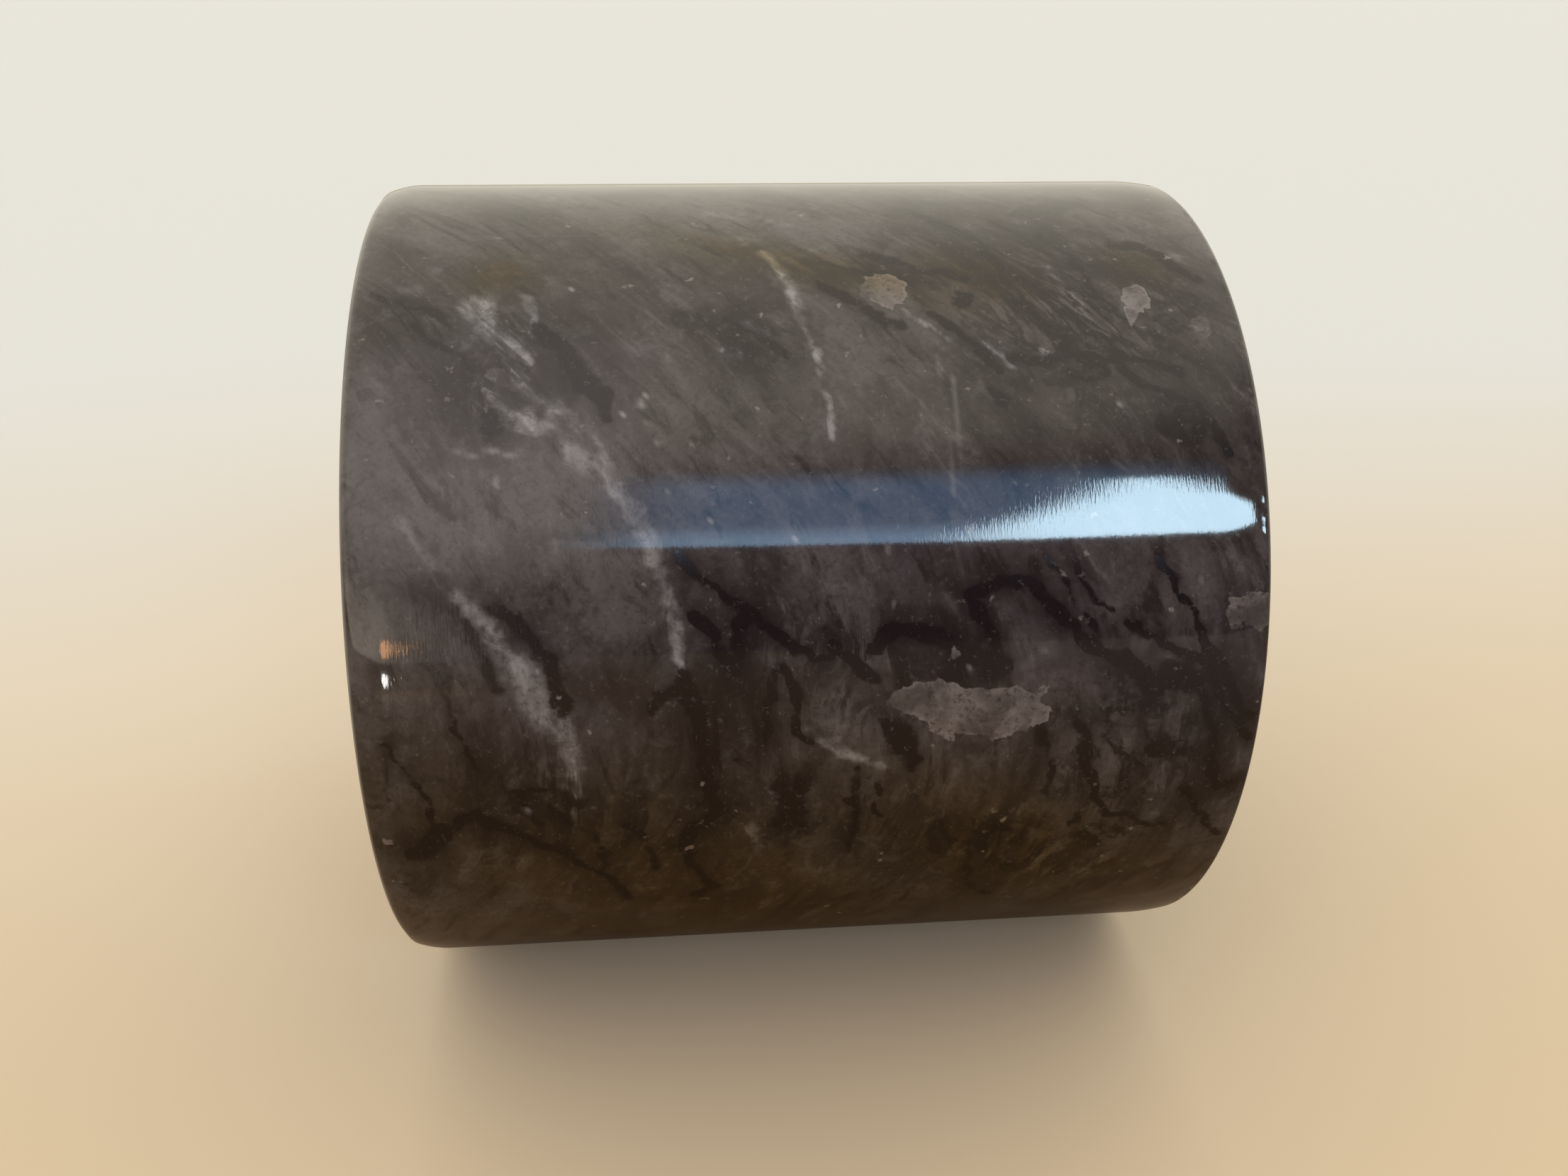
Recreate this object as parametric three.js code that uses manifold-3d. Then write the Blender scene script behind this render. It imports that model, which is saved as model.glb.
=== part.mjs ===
// A stone tumbler barrel: a polished marble shell lying on its side, lined with rubber
// and closed at its mouth by an expanding plug that a wing nut tightens.
// Millimetres. +X runs along the barrel's axis towards the mouth and +Z is up. The pieces
// are shaped about the barrel's axis, and the group then stands them on the floor, with
// the origin under the middle of the shell.
import * as THREE from "three";
import { mergeVertices } from "three/addons/utils/BufferGeometryUtils.js";
import Module from "manifold-3d";

const wasm = await Module();
wasm.setup();

// ---- Driving dimensions ------------------------------------------------------------------

const BARREL_DIAMETER = 140;
const BARREL_LENGTH = 136;
const STONE_WALL = 14; // thickness round the bore, and of the closed end
const MOUTH_ROUNDING = 1.2; // radius of the edges at the mouth
const MOUTH_ROLL_LENGTH = 7; // the polished side falls away over this length at the mouth
const MOUTH_ROLL_DROP = 0.7;
const BASE_ARRIS = 0.8; // bevel round the closed end
const BASE_ROLL_LENGTH = 6;
const BASE_ROLL_DROP = 1.2;
const BORE_FILLET = 3; // left in the bottom corner of the bore by the core drill
const GAP = 0.3; // between pieces that touch

const LINER_WALL = 4;
const LIFTER_COUNT = 6; // ribs that carry the stones up as the barrel turns
const LIFTER_RADIUS = 3.5;

const PLATE_THICKNESS = 2.4;
const PLATE_RIM_RECESS = 10; // from the mouth down to the outer plate's rim
const PLATE_RADIUS = 54.5;
const DISH_DEPTH = 6;
const DISH_TOP_RADIUS = 42;
const DISH_FLOOR_RADIUS = 36;
const SEAL_WIDTH = 16; // between the rims of the two plates

const BOLT_DIAMETER = 8;
const BOLT_LENGTH = 25;
const BOLT_HEAD_DIAMETER = 20;
const BOLT_HEAD_HEIGHT = 4.2;
const BOLT_NECK = 8; // square, across its flats
const BOLT_NECK_LENGTH = 4.6;
const SEAL_WASHER_DIAMETER = 22;
const SEAL_WASHER_THICKNESS = 1.5;
const SEAL_WASHER_HOLE = 12.4; // passes the square neck's corners
const FLAT_WASHER_DIAMETER = 24;
const FLAT_WASHER_THICKNESS = 1.6;
const NUT_HUB_DIAMETER = 15;
const NUT_HUB_TOP_DIAMETER = 12.5;
const NUT_HUB_HEIGHT = 8;
const NUT_HEIGHT = 12; // to the tips of the wings
const NUT_SPAN = 34;
const NUT_WING_THICKNESS = 3;

const LARGE_ROUND = 72; // facets round the shell, the liner and the plug
const SMALL_ROUND = 36; // facets round the bolt, the washers and the nut

// ---- Places along the axis ---------------------------------------------------------------

const barrelRadius = BARREL_DIAMETER / 2;
const mouthX = BARREL_LENGTH / 2;
const baseX = -BARREL_LENGTH / 2;
const boreRadius = barrelRadius - STONE_WALL;
const boreFloorX = baseX + STONE_WALL;

const outerRimX = mouthX - PLATE_RIM_RECESS; // outer plate, outside face of its rim
const innerRimX = outerRimX - 2 * PLATE_THICKNESS - SEAL_WIDTH; // inner plate, chamber face
const outerFloorX = outerRimX - DISH_DEPTH; // floor of the dish that holds the nut
const innerFloorX = innerRimX + DISH_DEPTH; // floor of the dish that holds the bolt head

const linerRadius = boreRadius - GAP;
const chamberRadius = linerRadius - LINER_WALL;
const linerBaseX = boreFloorX + GAP;
const linerRimX = innerRimX - GAP;

const sealWasherX = innerFloorX - GAP - SEAL_WASHER_THICKNESS;
const boltSeatX = sealWasherX - GAP;
const flatWasherX = outerFloorX + GAP;
const nutX = flatWasherX + FLAT_WASHER_THICKNESS + GAP;

// ---- Geometry helpers --------------------------------------------------------------------

const boltRunning = BOLT_DIAMETER / 2 + GAP; // radius of every round hole on the bolt

// Radius of the corners of a many-sided round whose flats stand at the given radius.
const overFlats = (radius, sides) => radius / Math.cos(Math.PI / sides);

// Points of a quarter round about a centre, from one angle to another, in degrees.
function arc(x, r, radius, from, to, steps = 4) {
  return Array.from({ length: steps + 1 }, (_, i) => {
    const angle = THREE.MathUtils.degToRad(from + ((to - from) * i) / steps);
    return [x + radius * Math.cos(angle), r + radius * Math.sin(angle)];
  });
}

// Turns a closed outline of [x, radius] points about the X axis. The outline runs
// anticlockwise with x to the right and the radius up, and a flat faces straight down.
function turned(outline, sides) {
  const loop = [...outline, outline[0]];
  const points = loop.reverse().map(([x, r]) => new THREE.Vector2(r, x));
  return new THREE.LatheGeometry(points, sides)
    .rotateZ(-Math.PI / 2)
    .rotateX(Math.PI / sides);
}

function rodAlongX(radius, from, to, sides) {
  return turned([[from, 0], [to, 0], [to, radius], [from, radius]], sides);
}

function boxAt(fromX, toX, width) {
  const box = new THREE.BoxGeometry(toX - fromX, width, width);
  return box.translate((fromX + toX) / 2, 0, 0);
}

// A closed solid with the geometry's shape, its shared corners merged into one.
function solid(geometry) {
  const bare = geometry.clone();
  bare.deleteAttribute("normal");
  bare.deleteAttribute("uv");
  const merged = mergeVertices(bare, 1e-3);
  const corners = merged.index.array;
  const kept = [];
  for (let i = 0; i < corners.length; i += 3) {
    const [a, b, c] = corners.slice(i, i + 3);
    if (a !== b && b !== c && c !== a) kept.push(a, b, c);
  }
  return new wasm.Manifold(
    new wasm.Mesh({
      numProp: 3,
      vertProperties: merged.attributes.position.array,
      triVerts: new Uint32Array(kept),
    }),
  );
}

function geometryOf(made) {
  const { vertProperties, triVerts } = made.getMesh();
  const geometry = new THREE.BufferGeometry();
  geometry.setAttribute("position", new THREE.BufferAttribute(vertProperties, 3));
  geometry.setIndex(new THREE.BufferAttribute(triVerts, 1));
  geometry.computeVertexNormals();
  return geometry;
}

// ---- Materials ---------------------------------------------------------------------------

const marble = new THREE.MeshStandardMaterial({ color: 0x5d5753, roughness: 0.2, metalness: 0 });
const rubber = new THREE.MeshStandardMaterial({ color: 0x1c1c1e, roughness: 0.75, metalness: 0 });
const steel = new THREE.MeshStandardMaterial({ color: 0xb9bcc0, roughness: 0.35, metalness: 1 });
const zinc = new THREE.MeshStandardMaterial({ color: 0xa9adb0, roughness: 0.4, metalness: 1 });

// ---- The pieces --------------------------------------------------------------------------

// Points of the side's roll-off at one end, as [distance from the end, radius], going in.
function rollOff(radius, length, drop, edge, steps = 4) {
  return Array.from({ length: steps + 1 }, (_, i) => {
    const distance = edge + ((length - edge) * i) / steps;
    return [distance, radius - drop * (1 - distance / length) ** 2];
  });
}

// The shell is one block of marble, turned outside and core-drilled from the mouth.
function stoneShell() {
  const outside = overFlats(barrelRadius, LARGE_ROUND);
  const mouthRoll = rollOff(outside, MOUTH_ROLL_LENGTH, MOUTH_ROLL_DROP, MOUTH_ROUNDING);
  const baseRoll = rollOff(outside, BASE_ROLL_LENGTH, BASE_ROLL_DROP, BASE_ARRIS);
  return turned(
    [
      [baseX, 0],
      [boreFloorX, 0],
      ...arc(boreFloorX + BORE_FILLET, boreRadius - BORE_FILLET, BORE_FILLET, 180, 90),
      ...arc(mouthX - MOUTH_ROUNDING, boreRadius + MOUTH_ROUNDING, MOUTH_ROUNDING, -90, 0),
      ...arc(mouthX - MOUTH_ROUNDING, mouthRoll[0][1] - MOUTH_ROUNDING, MOUTH_ROUNDING, 0, 90),
      ...mouthRoll.slice(1).map(([distance, r]) => [mouthX - distance, r]),
      ...baseRoll.reverse().map(([distance, r]) => [baseX + distance, r]),
      [baseX, outside - BASE_ROLL_DROP - BASE_ARRIS],
    ],
    LARGE_ROUND,
  );
}

// A moulded rubber cup with ribs along its wall.
function rubberLiner() {
  const cup = solid(
    turned(
      [
        [linerBaseX, 0],
        [linerBaseX + LINER_WALL, 0],
        [linerBaseX + LINER_WALL, chamberRadius],
        [linerRimX, chamberRadius],
        [linerRimX, linerRadius],
        ...arc(linerBaseX + BORE_FILLET, linerRadius - BORE_FILLET, BORE_FILLET, 90, 180),
      ],
      LARGE_ROUND,
    ),
  );
  const ribEndX = linerRimX - 2 * LIFTER_RADIUS;
  const ribs = Array.from({ length: LIFTER_COUNT }, (_, i) => {
    const rib = rodAlongX(LIFTER_RADIUS, linerBaseX + LINER_WALL / 2, ribEndX, 12);
    rib.translate(0, 0, chamberRadius);
    return solid(rib.rotateX((2 * Math.PI * (i + 0.5)) / LIFTER_COUNT));
  });
  return geometryOf(ribs.reduce((whole, rib) => whole.add(rib), cup));
}

// Half of the section of a dished plate: hub, 45 degree cone and flat rim, from the
// given hole radius out. The rim's face is at rimX, and the dish goes towards inward.
function plateFace(rimX, inward, holeRadius) {
  return [
    [rimX + inward * DISH_DEPTH, holeRadius],
    [rimX + inward * DISH_DEPTH, DISH_FLOOR_RADIUS],
    [rimX, DISH_TOP_RADIUS],
    [rimX, PLATE_RADIUS],
  ];
}

// The plate that the bolt pulls up from inside; its square hole stops the bolt turning.
function innerPlate() {
  const dish = solid(
    turned(
      [
        ...plateFace(innerRimX + PLATE_THICKNESS, 1, 0),
        ...plateFace(innerRimX, 1, 0).reverse(),
      ],
      LARGE_ROUND,
    ),
  );
  const hole = boxAt(innerRimX, outerRimX, BOLT_NECK + 2 * GAP);
  return geometryOf(dish.subtract(solid(hole)));
}

function outerPlate() {
  return turned(
    [
      ...plateFace(outerRimX, -1, boltRunning),
      ...plateFace(outerRimX - PLATE_THICKNESS, -1, boltRunning).reverse(),
    ],
    LARGE_ROUND,
  );
}

// The rubber ring between the plates. Its coned bore rides on both dishes, so
// squeezing the plates together drives it outwards against the stone.
function sealRing() {
  const left = innerRimX + PLATE_THICKNESS + GAP;
  const right = outerRimX - PLATE_THICKNESS - GAP;
  const throat = DISH_FLOOR_RADIUS + 2 * GAP;
  const easing = 1.2;
  return turned(
    [
      [left, DISH_TOP_RADIUS + GAP],
      [left + DISH_DEPTH - GAP, throat],
      [right - DISH_DEPTH + GAP, throat],
      [right, DISH_TOP_RADIUS + GAP],
      [right, linerRadius - easing],
      [right - easing, linerRadius],
      [left + easing, linerRadius],
      [left, linerRadius - easing],
    ],
    LARGE_ROUND,
  );
}

// A carriage bolt: domed head in the chamber, square neck, round shank.
function carriageBolt() {
  const headRadius = BOLT_HEAD_DIAMETER / 2;
  const domeRadius = (headRadius ** 2 + BOLT_HEAD_HEIGHT ** 2) / (2 * BOLT_HEAD_HEIGHT);
  const domeEdge = THREE.MathUtils.radToDeg(Math.asin(headRadius / domeRadius));
  const domeCentreX = boltSeatX - BOLT_HEAD_HEIGHT + domeRadius;
  const dome = arc(domeCentreX, 0, domeRadius, 180 - domeEdge, 180, 6);
  const head = turned([...dome, [boltSeatX, 0]], SMALL_ROUND);
  const neck = boxAt(boltSeatX - 1, boltSeatX + BOLT_NECK_LENGTH, BOLT_NECK);
  const shankEndX = boltSeatX + BOLT_LENGTH;
  const tip = 1;
  const radius = BOLT_DIAMETER / 2;
  const shank = turned(
    [[boltSeatX - 1, 0], [shankEndX, 0], [shankEndX, radius - tip], [shankEndX - tip, radius],
      [boltSeatX - 1, radius]],
    SMALL_ROUND,
  );
  return geometryOf(solid(head).add(solid(neck)).add(solid(shank)));
}

function washer(fromX, thickness, outerRadius, holeRadius) {
  const toX = fromX + thickness;
  return turned(
    [[fromX, holeRadius], [toX, holeRadius], [toX, outerRadius], [fromX, outerRadius]],
    SMALL_ROUND,
  );
}

// One flat, rounded wing, standing out from the hub along +Y.
function nutWing() {
  const tipY = NUT_SPAN / 2;
  const rootX = nutX + 1;
  const topX = nutX + NUT_HEIGHT;
  const outline = new THREE.Shape();
  outline.moveTo(rootX, NUT_HUB_DIAMETER / 2 - 2.5);
  outline.bezierCurveTo(rootX, tipY - 4, nutX + 3, tipY, topX - 4, tipY);
  outline.bezierCurveTo(topX - 1, tipY, topX, tipY - 2, topX, tipY - 4);
  outline.bezierCurveTo(topX, tipY - 8, nutX + NUT_HUB_HEIGHT + 1, tipY - 9, nutX + NUT_HUB_HEIGHT - 1,
    NUT_HUB_TOP_DIAMETER / 2 - 1.5);
  outline.closePath();
  return new THREE.ExtrudeGeometry(outline, {
    depth: NUT_WING_THICKNESS,
    bevelEnabled: false,
    curveSegments: 8,
  }).translate(0, 0, -NUT_WING_THICKNESS / 2);
}

function wingNut() {
  const topX = nutX + NUT_HUB_HEIGHT;
  const hub = turned(
    [[nutX, 0], [topX, 0], [topX, NUT_HUB_TOP_DIAMETER / 2], [nutX, NUT_HUB_DIAMETER / 2]],
    SMALL_ROUND,
  );
  const wings = solid(nutWing()).add(solid(nutWing().rotateX(Math.PI)));
  const bore = rodAlongX(boltRunning, nutX - 1, mouthX, SMALL_ROUND);
  return geometryOf(solid(hub).add(wings).subtract(solid(bore)));
}

// ---- The assembly ------------------------------------------------------------------------

const barrel = new THREE.Group();
barrel.name = "stone_tumbler_barrel";
barrel.position.z = barrelRadius;

function place(name, geometry, material) {
  const mesh = new THREE.Mesh(geometry, material);
  mesh.name = name;
  barrel.add(mesh);
}

const washerHoleRadius = SEAL_WASHER_HOLE / 2;
place("stone_shell", stoneShell(), marble);
place("rubber_liner", rubberLiner(), rubber);
place("inner_plate", innerPlate(), steel);
place("seal_ring", sealRing(), rubber);
place("carriage_bolt", carriageBolt(), zinc);
place(
  "bolt_seal_washer",
  washer(sealWasherX, SEAL_WASHER_THICKNESS, SEAL_WASHER_DIAMETER / 2, washerHoleRadius),
  rubber,
);
place("outer_plate", outerPlate(), steel);
place(
  "flat_washer",
  washer(flatWasherX, FLAT_WASHER_THICKNESS, FLAT_WASHER_DIAMETER / 2, boltRunning),
  zinc,
);
place("wing_nut", wingNut(), zinc);

export default barrel;
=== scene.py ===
"""A stone tumbler barrel: a polished marble shell, its rubber liner and its expanding plug.

Metres in the row frame. Outlines of turned pieces are in millimetres, as (x along the axis,
radius), and places on the stone's side are (x in mm, degrees round from the top towards -Y).
"""

import math
from types import SimpleNamespace

import bmesh
import bpy
import numpy as np
from mathutils import Matrix, Vector, geometry, noise


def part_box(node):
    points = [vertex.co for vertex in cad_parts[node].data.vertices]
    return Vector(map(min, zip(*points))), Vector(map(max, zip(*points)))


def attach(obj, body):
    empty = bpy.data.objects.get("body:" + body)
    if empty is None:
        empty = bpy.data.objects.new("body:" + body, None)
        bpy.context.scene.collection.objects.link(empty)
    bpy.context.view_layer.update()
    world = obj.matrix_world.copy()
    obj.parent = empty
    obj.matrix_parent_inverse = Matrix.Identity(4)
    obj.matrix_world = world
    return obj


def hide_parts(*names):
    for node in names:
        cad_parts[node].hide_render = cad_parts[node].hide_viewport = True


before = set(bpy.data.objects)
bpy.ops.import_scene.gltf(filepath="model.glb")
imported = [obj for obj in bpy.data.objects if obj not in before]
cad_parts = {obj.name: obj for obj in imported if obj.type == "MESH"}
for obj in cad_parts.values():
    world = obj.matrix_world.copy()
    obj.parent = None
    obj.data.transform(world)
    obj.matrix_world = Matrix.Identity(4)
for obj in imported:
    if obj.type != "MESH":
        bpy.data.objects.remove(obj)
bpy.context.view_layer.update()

MM = 0.001
SEED = 11
FACE_DEGREES = 245  # the flat faces repeat the unseen side's figure around this angle

# ---- Sizes, from the frame -----------------------------------------------------------------


def extent(node, axis):
    """Lowest and highest place of a CAD node along one axis, in millimetres."""
    low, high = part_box(node)
    return low[axis] / MM, high[axis] / MM


BASE_X, MOUTH_X = extent("stone_shell", 0)
BARREL_RADIUS = extent("stone_shell", 2)[1] / 2
LINER_BASE_X, LINER_RIM_X = extent("rubber_liner", 0)

STONE_WALL = 14
BORE_RADIUS = BARREL_RADIUS - STONE_WALL
BORE_FLOOR_X = BASE_X + STONE_WALL
BORE_FILLET = 3
MOUTH_ROUNDING = 1.2
MOUTH_ROLL = (7, 0.7)  # length and drop of the roll-off towards the mouth
BASE_ARRIS = 0.8
BASE_ROLL = (6, 1.2)
MM_PER_DEGREE = BARREL_RADIUS * math.pi / 180

# ---- Camera, light and floor ---------------------------------------------------------------

CAMERA_PLACE = Vector((-0.0232, -0.2453, 0.1841))
CAMERA_YAW = 5.66  # degrees towards +X
CAMERA_PITCH = -26.05
CAMERA_ROLL = 0.695
LENS = 32.12
SENSOR = 36


def add_camera():
    data = bpy.data.cameras.new("view_camera")
    data.sensor_width = SENSOR
    data.lens = LENS
    data.clip_start = 0.01
    camera = bpy.data.objects.new("view_camera", data)
    bpy.context.scene.collection.objects.link(camera)
    turn = Matrix.Rotation(math.radians(-CAMERA_YAW), 4, "Z")
    tilt = Matrix.Rotation(math.radians(90 + CAMERA_PITCH), 4, "X")
    roll = Matrix.Rotation(math.radians(CAMERA_ROLL), 4, "Z")
    camera.matrix_world = Matrix.Translation(CAMERA_PLACE) @ turn @ tilt @ roll
    bpy.context.scene.camera = camera


class Graph:
    """Short calls for building a node tree."""

    def __init__(self, tree):
        self.tree = tree

    def node(self, kind, *values, out=0, **settings):
        made = self.tree.nodes.new(kind)
        for key, value in settings.items():
            setattr(made, key, value)
        for socket, value in enumerate(values):
            if value is not None:
                self.put(made.inputs[socket], value)
        return made.outputs[out] if made.outputs else None

    def put(self, socket, value):
        if isinstance(value, bpy.types.NodeSocket):
            self.tree.links.new(value, socket)
        elif socket.type == "RGBA" and len(value) == 3:
            socket.default_value = (*value, 1)
        else:
            socket.default_value = value

    def math(self, operation, *values):
        return self.node("ShaderNodeMath", *values, operation=operation)

    def times(self, first, second):
        return self.math("MULTIPLY", first, second)

    def times_plus(self, first, second, third):
        return self.math("MULTIPLY_ADD", first, second, third)

    def minus(self, first, second):
        return self.math("SUBTRACT", first, second)

    def clamp(self, value):
        return self.node("ShaderNodeClamp", value)

    def smooth(self, value, low, high, to_low=0.0, to_high=1.0):
        """value eased from to_low at low to to_high at high."""
        return self.node(
            "ShaderNodeMapRange", value, low, high, to_low, to_high, interpolation_type="SMOOTHSTEP"
        )

    def split(self, vector):
        made = self.tree.nodes.new("ShaderNodeSeparateXYZ")
        self.put(made.inputs[0], vector)
        return made.outputs

    def joined(self, first, first_scale, second, second_scale, third, third_scale):
        """Coordinates for a texture, from three measures, each times its scale."""
        return self.node("ShaderNodeCombineXYZ", self.times(first, first_scale),
                         self.times(second, second_scale), self.times(third, third_scale))

    def cover(self, colour, field, low, high, share, tone):
        """The colour with more and more of a tone over it as the field goes from low to high."""
        return self.mix(self.smooth(field, low, high, 0.0, share), colour, tone)

    def mix(self, share, first, second, blend="MIX"):
        made = self.tree.nodes.new("ShaderNodeMix")
        made.data_type = "RGBA"
        made.blend_type = blend
        for socket, value in zip((0, 6, 7), (share, first, second)):
            self.put(made.inputs[socket], value)
        return made.outputs[2]

    def noise(self, where, scale, detail=2.0, rough=0.5, distort=0.0):
        made = self.tree.nodes.new("ShaderNodeTexNoise")
        for name, value in zip(
            ("Vector", "Scale", "Detail", "Roughness", "Distortion"), (where, scale, detail, rough, distort)
        ):
            self.put(made.inputs[name], value)
        return made.outputs["Fac"]

    def attribute(self, name):
        return self.node("ShaderNodeAttribute", out=2, attribute_name=name)

    def stretched(self, where, scale, turn=(0, 0, 0)):
        """Coordinates turned (degrees) and then scaled along each axis."""
        turned_by = [math.radians(angle) for angle in turn]
        rotated = self.node("ShaderNodeMapping", where, None, turned_by, vector_type="POINT")
        return self.node("ShaderNodeVectorMath", rotated, scale, operation="MULTIPLY")


def room(g, azimuth, height):
    """A pale ceiling and back, a dark front, and a lit wall with a glow low down at the left."""
    front = g.smooth(g.math("ABSOLUTE", azimuth), 60, 105, 1.0, 0.0)
    ceiling = g.smooth(height, 42, 64)
    back = g.times(g.minus(1.0, front), g.smooth(height, -10, 25, 0.75, 1.0))
    sky = g.mix(g.math("MAXIMUM", ceiling, back), (0.072, 0.052, 0.085), (1.20, 1.13, 0.94))
    left_wall = g.times(g.smooth(azimuth, 1, -6), g.smooth(height, 12, 36))
    sky = g.mix(g.times(left_wall, front), sky, (1.45, 1.33, 1.25))
    glow = g.times(g.smooth(azimuth, -5, -15), g.smooth(height, 30, 3))
    return g.mix(g.times(glow, front), sky, (1.9, 1.65, 1.35))


def window_share(g, azimuth, above, over_sill):
    """1 inside the arched window: its top slopes up, drops a step and slopes down again."""
    rise = g.clamp(g.math("DIVIDE", g.minus(azimuth, 13.0), 12.5))
    slope = g.times_plus(rise, 15.5, g.smooth(azimuth, 27.6, 29.2, 0.0, -5.0))
    past_step = g.math("MAXIMUM", g.minus(azimuth, 29.0), 0.0)
    top = g.times_plus(past_step, -0.4, slope)
    inside = g.smooth(g.minus(top, above), -0.5, 0.8)
    ends = g.times(g.smooth(azimuth, 11.0, 19.0, 0.10, 1.0), g.smooth(azimuth, 43.4, 41.8))
    return g.times(g.times(inside, over_sill), ends)


def add_world():
    """Soft studio light: the room, and one window with a blue sheen beside it."""
    world = bpy.data.worlds.new("studio")
    bpy.context.scene.world = world
    world.use_nodes = True
    world.node_tree.nodes.clear()
    g = Graph(world.node_tree)
    x, y, z = g.split(g.node("ShaderNodeTexCoord", out=0))
    height = g.times(g.math("ARCSINE", z), 180 / math.pi)
    azimuth = g.times(g.math("ARCTAN2", x, g.times(y, -1.0)), 180 / math.pi)
    sky = room(g, azimuth, height)

    sill = g.times_plus(azimuth, -0.1, 29.0)
    above = g.minus(height, sill)
    over_sill = g.smooth(above, -0.15, 0.25)
    in_band = g.times(g.smooth(azimuth, -5, 3), g.smooth(azimuth, 34, 24))
    band = g.times(g.times(over_sill, in_band), g.smooth(above, 22, 15))
    sky = g.mix(band, sky, (0.56, 1.2, 2.1))
    sky = g.mix(g.times(band, g.smooth(above, 6.5, 0.5)), sky, (2.2, 3.6, 5.4))
    window = window_share(g, azimuth, above, over_sill)
    # Gloss mirrors the whole window, and matt surfaces take only a little of its blue light.
    path = g.tree.nodes.new("ShaderNodeLightPath")
    gain = g.times_plus(path.outputs["Is Glossy Ray"], 0.82, 0.18)
    sky = g.mix(g.times(window, gain), sky, (12.5, 17.5, 21.0))
    # The camera sees a plain pale surround in place of the lights.
    sky = g.mix(path.outputs["Is Camera Ray"], sky, (0.80, 0.79, 0.77))
    g.node("ShaderNodeOutputWorld", g.node("ShaderNodeBackground", sky, 1.0))


def add_lamp(name, place, radius, tint, power):
    """A small lamp that the polished stone mirrors and the camera doesn't see."""
    data = bpy.data.lights.new(name, "POINT")
    data.shadow_soft_size = radius
    data.color = tint
    data.energy = power
    lamp = bpy.data.objects.new(name, data)
    lamp.location = place
    lamp.visible_camera = False
    bpy.context.scene.collection.objects.link(lamp)


def add_fill():
    """A broad warm light from the front that only matt surfaces show."""
    data = bpy.data.lights.new("warm_fill", "AREA")
    data.size = 0.5
    data.color = (1, 0.6, 0.28)
    data.energy = 0.6
    fill = bpy.data.objects.new("warm_fill", data)
    place = Vector((0.05, -0.75, 0.4))
    fill.matrix_world = Matrix.Translation(place) @ place.to_track_quat("Z", "Y").to_matrix().to_4x4()
    fill.visible_camera = False
    fill.visible_glossy = False
    bpy.context.scene.collection.objects.link(fill)


def add_floor():
    half = 7.0  # metres from its middle to its edge
    mesh = bpy.data.meshes.new("floor")
    corners = [(-half, -half, 0), (half, -half, 0), (half, half, 0), (-half, half, 0)]
    mesh.from_pydata(corners, [], [(0, 1, 2, 3)])
    floor = bpy.data.objects.new("floor", mesh)
    bpy.context.scene.collection.objects.link(floor)
    floor.location.z = -0.0002
    material, g, shader = new_material("pale_floor")
    where = g.node("ShaderNodeTexCoord", out=3)
    y = g.split(where)[1]
    # Painted warm light: the floor's colour runs from warm in front to pale at the back, along a noisy edge.
    patches = g.noise(where, 2.2, 1.0)
    depth = g.times_plus(patches, 0.22, y)
    seen_with_painted_warm_light = g.mix(g.smooth(depth, 0.0, 0.5), (0.70, 0.56, 0.38), (0.70, 0.71, 0.71))
    # Painted shade: what the polished stone picks up from the floor is dimmer and warmer than the floor
    # itself, darkest in front, where it stands in for the floor's shadow under the stone.
    path = g.tree.nodes.new("ShaderNodeLightPath")
    mirrored_painted_shade = g.mix(g.smooth(y, -0.06, 0.06), (0.20, 0.11, 0.038), (0.55, 0.50, 0.42))
    warm = g.mix(path.outputs["Is Camera Ray"], mirrored_painted_shade, seen_with_painted_warm_light)
    g.put(shader.inputs["Base Color"], warm)
    shader.inputs["Roughness"].default_value = 0.6
    mesh.materials.append(material)


def new_material(name):
    material = bpy.data.materials.new(name)
    material.use_nodes = True
    g = Graph(material.node_tree)
    return material, g, material.node_tree.nodes["Principled BSDF"]


def polar(g, where):
    """Place along the barrel's axis, distance from it and angle round it, in metres and radians."""
    centred = g.node("ShaderNodeVectorMath", where, (0, 0, -BARREL_RADIUS * MM), operation="ADD")
    x, y, z = g.split(centred)
    squares = g.times_plus(y, y, g.times(z, z))
    return x, g.math("SQRT", squares), g.math("ARCTAN2", y, z)


def relief(g, shader, height, distance):
    bump = g.tree.nodes.new("ShaderNodeBump")
    bump.inputs["Distance"].default_value = distance
    g.put(bump.inputs["Height"], height)
    g.put(shader.inputs["Normal"], bump.outputs[0])


# ---- The marble's figure -------------------------------------------------------------------
# Read off a grid on the side that faces the camera. A line is (strength, width in mm,
# points), and a point is (x, degrees) or (x, degrees, width). A patch is (strength, x, degrees,
# half length along x in mm, half height round the barrel in mm, tilt in degrees).

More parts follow.
